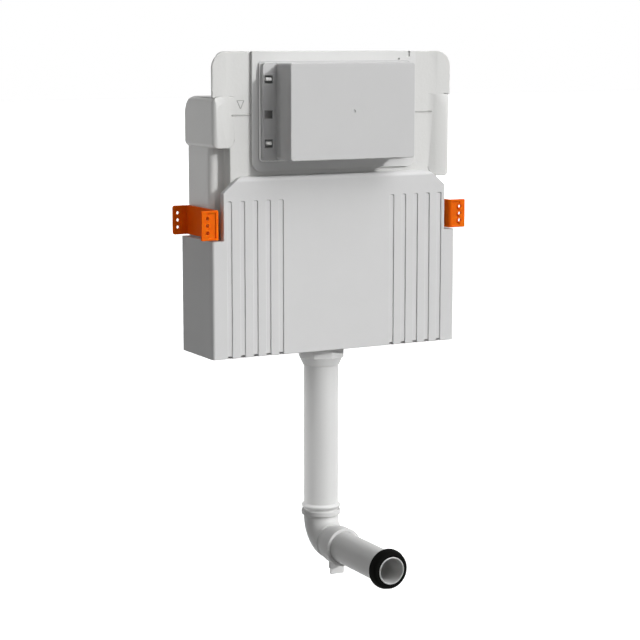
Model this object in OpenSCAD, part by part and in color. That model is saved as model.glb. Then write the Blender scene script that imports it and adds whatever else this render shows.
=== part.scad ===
// Concealed toilet cistern: insulated casing, moulded tank, service plate with protection box,
// side brackets, flush valve with two levers, side-inlet fill valve and flush bend.
// Heights are given above the casing's underside, depths behind the casing's front face.
// X runs to the right, Y to the wall and Z up. The origin is the middle of the wall bolts.

/* [Casing] */
// Width of the insulating casing
casing_w = 388; // [370:1:420]
// Depth from the front face to the wall
casing_d = 100; // [96:1:120]
// Thickness of the casing's front and sides
casing_t = 10.5; // [8:0.5:13]
// Thickness of the casing's floor
casing_floor = 10.5; // [8:0.5:14]
// Height of the casing's side walls
side_h = 163; // [150:1:163]
// Distance of the front panel's sides from the casing's sides
panel_inset = 17.5; // [14:0.5:24]
// Distance of the panel's top edge from the panel's sides
crown_inset = 26; // [16:1:36]
// Height of the panel's sloped shoulders
crown_rise = 21.5; // [15:0.5:30]
// Gap between the panel's top edge and the service plate
crown_gap = 6; // [3:0.5:12]
// Radius of the panel's rounded top edge
crown_r = 8; // [3:0.5:9]
// Radius of the panel's rounded shoulders
crown_corner_r = 20; // [10:1:24]
// Grooves on each half of the front
groove_n = 5; // [3:1:5]
// Width of a groove
groove_w = 7; // [4:0.5:10]
// Depth of a groove
groove_depth = 1.5; // [1:0.25:4]
// Distance from one groove to the next
groove_pitch = 19.75; // [17:0.25:20]
// Distance of the outer groove from the panel's side
groove_inset = 5.5; // [4:0.5:10]
// Distance of the grooves' upper ends below the panel's top edge
groove_drop = 33; // [24:1:70]

/* [Tank] */
// Wall of the moulded tank
tank_wall = 3; // [2:0.5:4]
// Gap between casing and tank
tank_gap = 0.3; // [0.2:0.1:0.8]
// Overall height of the tank above the casing's underside
tank_h = 419; // [414:1:430]
// Distance of the side posts' tops below the tank's top
shoulder_drop = 60.5; // [60:0.5:70]
// Radius of the posts' outer top corners
shoulder_r = 8; // [5:1:12]
// Radius of the posts' top corners at the wall
shoulder_back_r = 26; // [16:1:30]
// Height of the slope at the posts' upper front edge
shoulder_slope = 13; // [8:1:18]
// Radius of the tank's upright front corners
post_r = 8; // [6:0.5:12]
// How far the posts stand out from the tank
post_proud = 5; // [3:0.5:6]
// Width of a post, seen from the front
post_w = 34.7; // [33:0.1:36]
// Distance of the right post's lower end above its bracket
right_post_gap = 35.25; // [20:0.25:45]
// Distance of the left post's lower end above its bracket
left_post_gap = 82.75; // [70:0.25:94]
// Depth of the niches below the posts
niche_d = 18; // [12:1:22]
// Width of the niches below the posts
niche_w = 22; // [18:1:24]
// Distance of the full-depth neck above the posts from the tank's sides
neck_inset = 37.2; // [33:0.1:39]
// Radius of the neck's upright edges at the wall
neck_back_r = 12; // [8:1:16]
// Radius of the neck's top edges
neck_top_r = 18; // [12:1:20]
// Thickness of the corner webs above the posts
web_t = 5; // [4:0.5:6]
// How far the corner webs stand out from the tank's front
web_proud = 3; // [2:0.5:4]
// Width of the slope between a web or post and the tank's front
web_slope = 13.5; // [10:0.5:16]
// Radius of the webs' outer top corners
web_r = 22; // [15:1:26]

/* [Service plate] */
// Width of the plate round the service opening
plate_w = 258.6; // [250:0.2:266]
// Thickness of the plate
plate_t = 4.6; // [4:0.2:6]
// Height of the plate
plate_h = 163; // [157:0.5:165]
// Radius of the plate's lower corners
plate_r = 13; // [6:1:20]
// Width of the service opening
opening_w = 180; // [150:1:182]
// Height of the service opening
opening_h = 116; // [100:1:118]
// Distance of the opening's lower edge above the plate's
opening_rise = 23; // [20:0.5:26]
// Wall of the collar that lines the opening
collar_t = 2.5; // [2:0.5:3.5]
// Reach of the collar behind the tank's front wall
collar_reach = 14; // [12:1:18]

/* [Protection box] */
// Width of the box
box_w = 195; // [180:0.5:200]
// Height of the box
box_h = 131.4; // [125:0.2:133]
// Distance of the box's lower edge above the plate's
box_rise = 16; // [14:0.5:18]
// Reach of the box in front of the casing
box_reach = 47; // [35:1:60]
// Wall of the box
box_t = 2.5; // [2:0.5:3]
// Radius of the box's edges
box_r = 4; // [3:0.5:8]
// Width of the flange
flange_w = 240; // [234:1:250]
// Height of the flange
flange_h = 137.6; // [135:0.2:140]
// Reach of the flange in front of the service plate
flange_reach = 9.8; // [8:0.2:11]
// Width of the brim round the flange's foot
brim_w = 2.8; // [2:0.2:4]
// Thickness of the brim
brim_t = 1.6; // [1.2:0.2:2.4]
// Thickness of the flange and its rim
flange_t = 3; // [2:0.5:4]
// Width of a latch window
window_w = 12; // [10:0.5:13]
// Height of a latch window
window_h = 10.5; // [9:0.5:12]
// Distance between the upper and lower latch windows
window_span = 87; // [70:1:96]
// Thickness of a latch tongue
tongue_t = 3.2; // [2.4:0.2:4]

/* [Brackets] */
// Gap between the casing's side wall and the bracket above it
bracket_gap = 2.25; // [1:0.25:6]
// Length of a bracket, upwards
bracket_l = 40.5; // [36:0.5:42]
// Wall of a bracket
bracket_t = 4; // [3:0.5:5]
// Width of a bracket's flanges, outwards from the tank
bracket_w = 27; // [25:0.5:32]
// Outer radius of a bracket's bends
bracket_r = 5.5; // [5:0.5:8]
// How far the front flange stands in front of the casing
bracket_proud = 2; // [0:0.5:4]
// Distance of the bolt holes from the bracket's outer edge
bolt_edge = 8.7; // [7:0.1:10]
// Distance from one bolt hole to the next
bolt_pitch = 10; // [9.5:0.5:12]
// Radius of a bolt hole
bolt_r = 2.25; // [1.75:0.25:2.75]
// Depth of the panel between a front flange's rims
rim_depth = 1.5; // [1:0.25:2]

/* [Flush bend] */
// Outer radius of the upright flush pipe
pipe_r = 25; // [22.5:0.5:25]
// Wall of the flush pipe
pipe_wall = 2; // [1.6:0.2:3]
// Distance of the pipe's axis behind the front face
pipe_back = 49; // [47:0.5:51]
// Depth of the outlet's axis below the casing
outlet_drop = 284; // [260:1:340]
// Radius of the bend's centre line
bend_r = 33; // [30:1:45]
// How far the bead rings stand out from the pipe
bead = 3.25; // [2:0.25:4]
// Outer radius of the outlet pipe
outlet_r = 22.5; // [20:0.5:22.5]
// Wall of the outlet pipe
outlet_wall = 4.8; // [3.5:0.1:5]
// Reach of the outlet pipe in front of the casing
outlet_reach = 156; // [120:1:200]
// Outer radius of the pan seal
seal_r = 28; // [27:0.5:32]
// Length of the pan seal
seal_l = 16; // [12:1:24]
// Length of the bend's socket collar
socket_l = 19; // [15:1:22]
// Radius of the outlet nut across its corners
nut_r = 34; // [33:0.5:35]

/* [Flush valve] */
// Radius of the threaded spigot
spigot_r = 23.8; // [22:0.2:24]
// Wall of the spigot
spigot_t = 3.3; // [2.5:0.1:4]
// Radius of the valve base's flange
base_r = 34; // [32:0.5:34.5]
// Thickness of the rubber gaskets
gasket_t = 2.5; // [1.5:0.5:3]
// Outer radius of the overflow tube
overflow_r = 14; // [12:0.5:15]
// Thickness of the lift hook on the overflow tube
hook_t = 4; // [3.5:0.5:8]
// Height of the valve cage's top
cage_h = 150; // [130:1:160]
// Windows round the valve cage
cage_windows = 6; // [4:1:8]
// Height of the windows' upper edge above the cage's foot
cage_window_h = 42; // [34:1:46]
// Height of the half-flush float
half_float_l = 46; // [36:1:60]

/* [Levers] */
// Distance of the levers' pivot below the opening's upper edge
pivot_drop = 43; // [40:0.5:46]
// Length of a lever's lifting arm
lift_arm = 28; // [26:0.5:30]
// Length of a lever's push paddle
paddle_l = 34; // [28:1:38]
// Width of a lever
lever_w = 20; // [16:1:22]
// Distance of each lever from the middle
lever_x = 24; // [22:0.5:25]
// Radius of the lever pin
pin_r = 2.5; // [2:0.25:3]

/* [Fill valve] */
// Radius of the inlet's pipe thread
shank_r = 10.48; // [9:0.02:10.5]
// Distance of the inlet's axis below the tank's top
inlet_drop = 41; // [37:1:46]
// Distance of the inlet's axis from the wall
inlet_y = 40; // [36:1:44]
// Distance of the fill valve's axis from the neck's side
fill_inset = 34; // [31:0.5:37]
// Outer radius of the float
float_r = 22; // [18:0.5:23]
// Height of the float
float_l = 55; // [45:1:60]
// Room above the float when the tank is full
float_room = 17; // [14:1:24]
// Length of the float arm
arm_l = 30; // [28:0.5:32]
// Distance of the arm's pivot above the barrel
arm_rise = 14; // [13:0.5:15]
// Reach of the barrel below the inlet's axis
barrel_drop = 16; // [14:0.5:18]
// Reach of the stem below the float
stem_reach = 44; // [36:1:48]
// Reach of the inlet shank beyond the neck's side
shank_reach = 26; // [22:1:28]

/* [Clearances] */
// Gap of a running fit, on the radius
running = 0.08; // [0.05:0.01:0.1]
// Gap between other pieces that move or are set in
clear = 0.3; // [0.3:0.1:0.5]

/* [Hidden] */
$fn = 72;
eps = 0.01;

bracket_h = side_h + bracket_gap + bracket_l / 2;

// A height above the casing's underside and a depth behind its front face, in the part's frame
function up(h) = h - bracket_h;
function back(d) = d - casing_d;

casing_half = casing_w / 2;
panel_half = casing_half - panel_inset;
crown_half = panel_half - crown_inset;
plate_base = tank_h - plate_h;
crown_h = plate_base - crown_gap;
panel_h = crown_h - crown_rise;
groove_top = crown_h - groove_drop;
groove_x = panel_half - groove_inset - groove_w;
tank_half = casing_half - casing_t - tank_gap;
shoulder_h = tank_h - shoulder_drop;
bracket_top = bracket_h + bracket_l / 2;
right_post_h = bracket_top + right_post_gap;
left_post_h = bracket_top + left_post_gap;
tank_front = back(casing_t + tank_gap);
post_front = tank_front - post_proud;
post_half = tank_half + post_proud;
post_inner = post_half - post_w;
plate_half = plate_w / 2;
plate_front = tank_front - plate_t;
web_front = tank_front - web_proud;
neck_half = tank_half - neck_inset;
opening_half = opening_w / 2;
opening_base = plate_base + opening_rise;
opening_top = opening_base + opening_h;
box_base = plate_base + box_rise;
box_mid = box_base + box_h / 2;
flange_front = plate_front - flange_reach;
flange_x = (flange_w + box_w) / 4;
window_mid_drop = 4;
window_heights = [box_mid - window_span / 2, box_mid - window_mid_drop, box_mid + window_span / 2];
hook_heights = [window_heights[0], window_heights[2]];
bolt_x = tank_half + bracket_w - bolt_edge;
bracket_front = back(-bracket_proud);

pipe_y = back(pipe_back);
floor_top = casing_floor + tank_wall;
base_z = floor_top + gasket_t;
base_t = 4;
lip_h = 4;
lip_z = base_z + base_t + lip_h;
spigot_low = -14;
spigot_bore = spigot_r - spigot_t;
washer_t = 1.5;
collar_z = spigot_low - washer_t;
pipe_collar_t = 2.5;
pipe_collar_r = pipe_r + 2;
nut_cone_top = -16;
nut_cone_l = 12;
bend_top = bend_r - outlet_drop;
mouth_l = 9.5;
mouth_top = bend_top + mouth_l;
bead_l = 7.5;
bead_gap = 2;
socket_seat = 1.7;
pipe_low = bend_top + socket_seat;
bend_bore = pipe_r - pipe_wall;
neck_r = outlet_r + 1.5;
neck_end = back(-2);
bend_end = pipe_y - bend_r;
collar_end = neck_end - socket_l;
socket_r = outlet_r + 5;
outlet_start = bend_end - 9;
outlet_end = back(-outlet_reach);
outlet_bore = outlet_r - outlet_wall;
mouth_cone = 4;
mouth_r = outlet_bore + 0.8;

cage_r = base_r;
cage_t = 2.5;
cage_foot = base_z + base_t;
window_low = cage_foot + 8;
window_top = cage_foot + cage_window_h;
seal_t = 3;
seal_low = lip_z + clear;
disc_t = 4;
disc_z = seal_low + seal_t;
disc_r = spigot_r + 2;
overflow_bore = overflow_r - 2;
half_float_low = cage_h + 6;
half_float_top = half_float_low + half_float_l;
half_float_r = lever_x + 4;

pivot_y = pipe_y - lift_arm;
pivot_h = opening_top - pivot_drop;
tip_r = 3;
stirrup_t = 3;
stirrup_gap = 0.5;
stirrup_drop = 3;
stirrup_l = 8;
arm_w = 10;
stirrup_w = arm_w + 2;
stirrup_low = pivot_h - tip_r - stirrup_drop - stirrup_t;
stirrup_top = pivot_h + tip_r + stirrup_gap + stirrup_t;
overflow_h = stirrup_low + stirrup_t - hook_t;
lift_rod_r = 2.5;
hub_r = pin_r + 2.5;
ear_t = 4;
ear_x = lever_x + lever_w / 2 + 1;
beam_low = pivot_h + hub_r + 3;
beam_h = 8;
beam_d = 8;

inlet_pos = -inlet_y;
inlet_h = tank_h - inlet_drop;
fill_x = neck_half - fill_inset;
barrel_r = 11;
barrel_low = inlet_h - barrel_drop;
barrel_top = inlet_h + 10;
stem_r = 7;
float_base = barrel_low - float_room - float_l;
stem_low = float_base - stem_reach;
stop_r = stem_r + 2;
stop_t = 3;
shank_flange_t = 3;
shank_wall = neck_half - tank_wall;
shank_end = neck_half + shank_reach;
shank_nut_t = 8;
shank_core = shank_r - 0.4;
thread_start = neck_half + shank_nut_t + 1;
arm_pivot_x = fill_x + 12;
arm_pivot_h = barrel_top + arm_rise;
arm_rod_x = arm_pivot_x - arm_l;
arm_t = 4;
arm_half = 4.5;
rod_r = 1.5;
rod_collar_r = 3.4;
rod_collar_t = 2;
rod_play = 4.5;
arm_pin_r = 1.5;

// A rectangle from corner to corner, with radii in the order low-low, high-low, high-high, low-high
module plain_rect(x0, x1, y0, y1, radii = [0, 0, 0, 0]) {
    difference() {
        translate([x0, y0]) square([x1 - x0, y1 - y0]);
        corner_cut(x0, y0, 1, 1, radii[0]);
        corner_cut(x1, y0, -1, 1, radii[1]);
        corner_cut(x1, y1, -1, -1, radii[2]);
        corner_cut(x0, y1, 1, -1, radii[3]);
    }
}

module corner_cut(x, y, sx, sy, r) {
    if (r > 0)
        difference() {
            translate([x + (sx > 0 ? -1 : -r), y + (sy > 0 ? -1 : -r)]) square(r + 1);
            translate([x + sx * r, y + sy * r]) circle(r);
        }
}

// Outlines drawn from above, from the front and from the side, drawn out along Z, Y and X
module upright(low, high) translate([0, 0, up(low)]) linear_extrude(high - low) children();
module facing(y0, y1) translate([0, y1, 0]) rotate([90, 0, 0]) linear_extrude(y1 - y0) children();
module sideways(x0, x1) translate([x0, 0, 0]) rotate([90, 0, 90]) linear_extrude(x1 - x0) children();

// Round pieces on the flush valve's axis, on an axis along Y and on an axis along X
module on_valve() translate([0, pipe_y, 0]) children();
module ring(r_out, r_in, low, high) {
    translate([0, 0, up(low)])
        difference() {
            cylinder(r = r_out, h = high - low);
            translate([0, 0, -1]) cylinder(r = r_in, h = high - low + 2);
        }
}
module rod_y(r, y0, y1) translate([0, y0, 0]) rotate([-90, 0, 0]) cylinder(r = r, h = y1 - y0);
module rod_x(r, x0, x1) translate([x0, 0, 0]) rotate([0, 90, 0]) cylinder(r = r, h = x1 - x0);

module both_sides() {
    children();
    mirror([1, 0, 0]) children();
}

// Casing: a tray with a raised, shouldered and grooved front panel
module panel_outline() {
    turn = atan(crown_rise / crown_inset);
    reach = crown_corner_r * tan(turn / 2);
    difference() {
        polygon([for (p = [[panel_half, side_h - casing_t], [panel_half, panel_h], [crown_half, crown_h]])
                     [p[0], up(p[1])],
                 for (p = [[-crown_half, crown_h], [-panel_half, panel_h], [-panel_half, side_h - casing_t]])
                     [p[0], up(p[1])]]);
        for (s = [-1, 1])
            difference() {
                polygon([[s * (crown_half - reach), up(crown_h)], [s * (crown_half - reach), up(crown_h) + 1],
                         [s * (crown_half + reach), up(crown_h) + 1],
                         [s * (crown_half + reach * cos(turn)), up(crown_h) - reach * sin(turn)]]);
                translate([s * (crown_half - reach), up(crown_h) - crown_corner_r]) circle(crown_corner_r);
            }
    }
}

module lower_casing() {
    edge_r = 4;
    drain_l = 2;
    drain_h = 1;
    nut_room = 2;
    color([0.80, 0.80, 0.81])
    difference() {
        intersection() {
            union() {
                upright(0, side_h)
                    plain_rect(-casing_half, casing_half, back(0), 0, [edge_r, edge_r, 0, 0]);
                facing(back(0) + eps, back(casing_t)) panel_outline();
            }
            sideways(-casing_half, casing_half)
                plain_rect(back(0), 0, up(0), up(crown_h), [0, 0, 0, crown_r]);
        }
        translate([-casing_half + casing_t, back(casing_t), up(casing_floor)])
            cube([casing_w - 2 * casing_t, casing_d, tank_h]);
        for (i = [0 : groove_n - 1])
            both_sides()
                translate([groove_x - i * groove_pitch, 0, 0]) {
                    facing(back(-1), back(groove_depth))
                        plain_rect(0, groove_w, up(-1), up(groove_top),
                                   [0, 0, groove_w / 3, groove_w / 3]);
                    facing(back(-1), back(casing_t + 1))
                        plain_rect(0, groove_w, up(drain_h), up(drain_h + drain_l));
                }
        on_valve() translate([0, 0, up(-1)]) cylinder(r = nut_r + nut_room, h = casing_floor + 2);
    }
}

// Tank seen from above, with the front corners cut back where a niche runs
module tank_plan(left_cut, right_cut, inset) {
    core = tank_half - niche_w - inset;
    plain_rect(-core, core, tank_front + inset, -inset);
    tank_column(right_cut, inset);
    mirror([1, 0]) tank_column(left_cut, inset);
}

module tank_column(cut, inset) {
    plain_rect(0, tank_half - inset, tank_front + cut + inset, -inset,
               [0, post_r - inset, 0, 0]);
}

module tank_outline(inset) {
    r = shoulder_r - inset;
    plain_rect(inset - tank_half, tank_half - inset, up(casing_floor + inset),
               up(shoulder_h - inset), [0, 0, r, r]);
}

module tank_profile(inset) {
    plain_rect(tank_front - post_proud, -inset, up(casing_floor), up(shoulder_h - inset),
               [0, 0, shoulder_back_r - inset, 0]);
}

module neck(low, inset) {
    r = neck_top_r - inset;
    intersection() {
        upright(low, tank_h - inset) neck_plan(inset);
        facing(tank_front, 0)
            plain_rect(inset - neck_half, neck_half - inset, up(low), up(tank_h - inset), [0, 0, r, r]);
    }
}

module neck_plan(inset) {
    r = neck_back_r - inset;
    plain_rect(inset - neck_half, neck_half - inset, tank_front + inset, -inset, [0, 0, r, r]);
}

// A post beside the service plate, with the web that carries its front on to the top corner
module post(base_h) {
    foot_r = 8;
    foot_inner_r = 15;
    joined = 1;
    intersection() {
        upright(base_h, shoulder_h) post_plan(post_front, 0, [0, post_r, 0, 0]);
        facing(post_front, 0)
            plain_rect(post_inner, post_half, up(base_h), up(shoulder_h),
                       [foot_inner_r, foot_r, shoulder_r, 0]);
        sideways(post_inner, post_half)
            difference() {
                tank_profile(0);
                polygon([[post_front - 1, up(shoulder_h - shoulder_slope)],
                         [post_front, up(shoulder_h - shoulder_slope)], [web_front, up(shoulder_h)],
                         [web_front, up(shoulder_h + 1)], [post_front - 1, up(shoulder_h + 1)]]);
            }
    }
    intersection() {
        upright(shoulder_h - joined, tank_h) post_plan(web_front, web_front + web_t, [0, 0, 0, 0]);
        facing(web_front, tank_front + web_t)
            plain_rect(post_inner, post_half, up(shoulder_h - joined), up(tank_h), [0, 0, web_r, 0]);
    }
    facing(tank_front, tank_front + web_t)
        plain_rect(neck_half - neck_top_r - web_t, post_inner + web_slope, up(shoulder_h - shoulder_slope),
                   up(tank_h));
}

// A post or web seen from above, with the slope that runs from the tank's front to its own
module post_plan(front, rear, radii) {
    difference() {
        plain_rect(post_inner, post_half, front, rear, radii);
        polygon([[post_inner - 1, front - 1], [post_inner + web_slope, front - 1],
                 [post_inner + web_slope, front], [post_inner, tank_front], [post_inner - 1, tank_front]]);
    }
}

module tank_shell() {
    intersection() {
        union() {
            upright(casing_floor, side_h) tank_plan(0, 0, 0);
            upright(side_h, right_post_h) tank_plan(niche_d, niche_d, 0);
            upright(right_post_h, left_post_h) tank_plan(niche_d, 0, 0);
            upright(left_post_h, shoulder_h) tank_plan(0, 0, 0);
        }
        facing(tank_front, 0) tank_outline(0);
        sideways(-tank_half, tank_half) tank_profile(0);
    }
    neck(shoulder_h - shoulder_back_r, 0);
    post(right_post_h);
    mirror([1, 0, 0]) post(left_post_h);
}

module tank_hollow() {
    intersection() {
        union() {
            upright(casing_floor, side_h - tank_wall) tank_plan(0, 0, tank_wall);
            upright(casing_floor, shoulder_h) tank_plan(niche_d, niche_d, tank_wall);
            upright(right_post_h + tank_wall, shoulder_h) tank_plan(niche_d, 0, tank_wall);
            upright(left_post_h + tank_wall, shoulder_h) tank_plan(0, 0, tank_wall);
        }
        facing(tank_front, 0) tank_outline(tank_wall);
        sideways(-tank_half, tank_half) tank_profile(tank_wall);
    }
    neck(shoulder_h - shoulder_back_r - tank_wall, tank_wall);
}

module tank() {
    collar_half = opening_half + collar_t + clear;
    color([0.86, 0.86, 0.85])
    difference() {
        tank_shell();
        tank_hollow();
        facing(tank_front - 1, tank_front + tank_wall + 1)
            plain_rect(-collar_half, collar_half, up(opening_base - collar_t - clear),
                       up(opening_top + collar_t + clear));
        on_valve() translate([0, 0, up(casing_floor - 1)])
            cylinder(r = spigot_r + clear, h = tank_wall + 2);
        translate([0, inlet_pos, up(inlet_h)])
            rod_x(shank_core + clear, shank_wall - 1, neck_half + 1);
    }
}

// Plate round the service opening, with a collar that snaps behind the tank's wall
module service_plate() {
    barb = 2;
    barb_l = 40;
    notch_w = 4;
    notch_x = 118;
    notch_l = 8;
    sight_r = 1.5;
    sight_x = 102;
    sight_drop = 11;
    collar_half = opening_half + collar_t;
    wall_back = tank_front + tank_wall + clear;
    color([0.80, 0.80, 0.80])
    difference() {
        union() {
            facing(plate_front, tank_front)
                plain_rect(-plate_half, plate_half, up(plate_base), up(tank_h),
                           [plate_r, plate_r, 0, 0]);
            facing(tank_front - eps, tank_front + collar_reach)
                plain_rect(-collar_half, collar_half, up(opening_base - collar_t),
                           up(opening_top + collar_t));
            both_sides()
                translate([0, 0, up((opening_base + opening_top) / 2) - barb_l / 2])
                    linear_extrude(barb_l)
                        polygon([[collar_half - eps, wall_back], [collar_half + barb, wall_back],
                                 [collar_half - eps, wall_back + 2 * barb]]);
        }
        facing(plate_front - 1, tank_front + collar_reach + 1)
            plain_rect(-opening_half, opening_half, up(opening_base), up(opening_top));
        facing(plate_front - 1, tank_front - plate_t / 2)
            plain_rect(notch_x - notch_w / 2, notch_x + notch_w / 2, up(tank_h - notch_l), up(tank_h + 1));
        translate([sight_x, 0, up(tank_h - sight_drop)])
            rod_y(sight_r, plate_front - 1, tank_front - plate_t / 2);
    }
}

// Sprung tongues that hold the box's flange, seen through its windows
module latch_tongues() {
    head = 1.6;
    head_l = 4;
    tip = flange_front - 1;
    half = window_w / 2 - 2;
    color([0.92, 0.92, 0.91])
    both_sides()
        for (h = hook_heights)
            translate([flange_x - half, 0, up(h)])
                sideways(0, 2 * half)
                    polygon([[plate_front, -tongue_t / 2], [tip, -tongue_t / 2],
                             [tip, tongue_t / 2 - 1], [tip + head_l / 2, tongue_t / 2 + head],
                             [tip + head_l, tongue_t / 2], [plate_front, tongue_t / 2]]);
}

// Protection box over the service opening, a hood with a windowed flange
module box_outline(inset) {
    r = box_r - min(inset, box_r - 1);
    plain_rect(inset - box_w / 2, box_w / 2 - inset, up(box_base + inset), up(box_base + box_h - inset),
               [r, r, r, r]);
}

module flange_outline(inset) {
    r = 5;
    half_h = flange_h / 2 - inset;
    plain_rect(inset - flange_w / 2, flange_w / 2 - inset, up(box_mid - half_h), up(box_mid + half_h),
               [r, r, r, r]);
}

module protection_box() {
    front = back(-box_reach);
    seat = plate_front - clear;
    dimple_r = 2.3;
    dimple_d = 1;
    color([0.80, 0.80, 0.81])
    difference() {
        union() {
            facing(front, flange_front + flange_t) box_outline(0);
            facing(flange_front, seat) flange_outline(brim_w);
            facing(seat - brim_t, seat) flange_outline(0);
        }
        facing(front + box_t, seat + 1) box_outline(box_t);
        facing(flange_front + flange_t, seat + 1) flange_outline(brim_w + flange_t);
        both_sides()
            for (h = window_heights)
                facing(flange_front - 1, flange_front + flange_t + 1)
                    plain_rect(flange_x - window_w / 2, flange_x + window_w / 2,
                               up(h) - window_h / 2, up(h) + window_h / 2);
        translate([0, 0, up(box_mid)]) rod_y(dimple_r, front - 1, front + dimple_d);
    }
}

// Side bracket: a channel with bolt flanges at the front and at the wall
module bracket() {
    corner_r = 1.5;
    wall_corner_r = 3;
    wall_short = 1.5;
    rim = 3;
    boss_r = bolt_r + 2;
    outer = tank_half + bracket_w;
    inner_r = bracket_r - bracket_t;
    half = bracket_l / 2;
    color([0.93, 0.42, 0.10])
    difference() {
        intersection() {
            translate([0, 0, -half]) linear_extrude(bracket_l)
                difference() {
                    plain_rect(tank_half, outer, bracket_front, 0, [bracket_r, 0, 0, bracket_r]);
                    plain_rect(tank_half + bracket_t, outer + 1, bracket_front + bracket_t, -bracket_t,
                               [inner_r, 0, 0, inner_r]);
                }
            union() {
                facing(bracket_front, bracket_front / 2)
                    plain_rect(tank_half, outer, -half, half, [0, corner_r, corner_r, 0]);
                facing(bracket_front / 2 - eps, 0)
                    plain_rect(tank_half, outer - wall_short, -half, half, [0, wall_corner_r, wall_corner_r, 0]);
            }
        }
        facing(bracket_front - 1, bracket_front + rim_depth)
            difference() {
                plain_rect(tank_half + bracket_r, bolt_x, rim - half, half - rim);
                for (i = [-1 : 1]) translate([bolt_x, i * bolt_pitch]) circle(boss_r);
            }
        for (i = [-1 : 1])
            translate([bolt_x, 0, i * bolt_pitch]) rod_y(bolt_r, bracket_front - 1, 1);
    }
}

module bracket_right() bracket();
module bracket_left() mirror([1, 0, 0]) bracket();

// Outlet through the tank's floor
module base_gasket() color([0.1, 0.1, 0.1])
    on_valve() ring(base_r - 1, spigot_r + clear, floor_top, base_z);

module valve_base() {
    color([0.92, 0.92, 0.93])
    on_valve() difference() {
        union() {
            translate([0, 0, up(base_z)]) cylinder(r = base_r, h = base_t);
            translate([0, 0, up(spigot_low)]) cylinder(r = spigot_r, h = base_z - spigot_low + eps);
            ring(spigot_r - 0.8, spigot_bore, base_z + base_t - eps, lip_z);
        }
        translate([0, 0, up(spigot_low - 1)]) cylinder(r = spigot_bore, h = lip_z);
    }
}

module outlet_nut() {
    chamber_r = pipe_collar_r + clear;
    shoulder = collar_z - pipe_collar_t;
    nut_low = nut_cone_top - nut_cone_l;
    color([0.72, 0.72, 0.72])
    on_valve() difference() {
        union() {
            translate([0, 0, up(nut_cone_top)])
                cylinder(r = nut_r, h = casing_floor - nut_cone_top, $fn = 8);
            translate([0, 0, up(nut_low)])
                cylinder(r1 = pipe_r + 1, r2 = nut_r * cos(180 / 8), h = nut_cone_l + eps);
        }
        translate([0, 0, up(shoulder)]) cylinder(r = chamber_r, h = spigot_low - shoulder);
        translate([0, 0, up(shoulder)]) cylinder(r = spigot_r + clear, h = casing_floor - shoulder + 1);
        translate([0, 0, up(nut_low - 1)]) cylinder(r = pipe_r + clear, h = shoulder - nut_low + 2);
    }
}

module pipe_washer() color([0.1, 0.1, 0.1])
    on_valve() ring(pipe_collar_r - 0.5, spigot_bore, collar_z, spigot_low);

// Upright flush pipe with a collar in the nut and a bead above the bend
module flush_pipe() {
    bead_low = mouth_top + bead_gap;
    color([0.78, 0.78, 0.78])
    on_valve() difference() {
        union() {
            translate([0, 0, up(pipe_low)]) cylinder(r = pipe_r, h = collar_z - pipe_low);
            translate([0, 0, up(collar_z - pipe_collar_t)])
                cylinder(r = pipe_collar_r, h = pipe_collar_t);
            bead_ring(bead_low);
        }
        translate([0, 0, up(pipe_low - 1)]) cylinder(r = bend_bore, h = collar_z - pipe_low + 2);
    }
}

// A bead with tapered shoulders round the upright pipe
module bead_ring(low) {
    taper = bead_l / 3;
    translate([0, 0, up(low)])
        rotate_extrude()
            polygon([[pipe_r - 1, 0], [pipe_r, 0], [pipe_r + bead, taper], [pipe_r + bead, bead_l - taper],
                     [pipe_r, bead_l], [pipe_r - 1, bead_l]]);
}

// Bend to the front, with a mouth that turns on the pipe and a socket for the outlet pipe
module flush_elbow() {
    groove = 1.5;
    color([0.62, 0.62, 0.61])
    difference() {
        union() {
            on_valve() translate([0, 0, up(bend_top)])
                rotate_extrude()
                    polygon([[0, 0], [pipe_r, 0], [pipe_r + bead, bead_l / 3],
                             [pipe_r + bead, mouth_l - 1], [pipe_r + bead - 1, mouth_l], [0, mouth_l]]);
            bend_solid(pipe_r);
            translate([0, 0, up(-outlet_drop)]) {
                rod_y(neck_r, neck_end, bend_end + eps);
                rod_y(socket_r, collar_end, neck_end + eps);
            }
        }
        on_valve() {
            translate([0, 0, up(pipe_low - clear)]) cylinder(r = pipe_r + running, h = mouth_l + 1);
            translate([0, 0, up(bend_top - eps)]) cylinder(r = bend_bore, h = mouth_l);
            translate([0, 0, up(seal_ring_low())])
                cylinder(r = pipe_r + running + groove, h = seal_ring_h());
        }
        bend_solid(outlet_r);
        translate([0, 0, up(-outlet_drop)]) {
            rod_y(outlet_bore, outlet_start - eps, bend_end + eps);
            rod_y(outlet_r + running, collar_end - 1, outlet_start);
        }
    }
}

function seal_ring_low() = pipe_low + 2.5;
function seal_ring_h() = 3;

module bend_solid(r) {
    translate([0, bend_end, up(bend_top)])
        rotate([0, 90, 0])
            rotate_extrude(angle = 90)
                translate([bend_r, 0]) circle(r);
}

module elbow_seal() color([0.1, 0.1, 0.1])
    on_valve() ring(pipe_r + running + 1.4, pipe_r + running,
                    seal_ring_low() + 0.1, seal_ring_low() + seal_ring_h() - 0.1);

// Clip round the bend's neck, with the tab that locks it
module elbow_clip() {
    clip_r = socket_r - 1;
    clip_l = 7;
    tab_w = 22;
    tab_l = 16;
    tab_t = 3;
    block_l = 8;
    axis = up(-outlet_drop);
    front = neck_end + clear;
    color([0.70, 0.70, 0.70])
    difference() {
        union() {
            translate([0, 0, axis]) rod_y(clip_r, front, front + clip_l);
            facing(front, front + tab_t)
                plain_rect(-tab_w / 2, tab_w / 2, axis - socket_r - tab_l, axis - neck_r,
                           [2, 2, 0, 0]);
            facing(front, front + clip_l)
                plain_rect(-tab_w / 2, tab_w / 2, axis - socket_r - block_l, axis - neck_r);
        }
        translate([0, 0, axis]) rod_y(neck_r + running, front - 1, front + clip_l + 1);
    }
}

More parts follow.
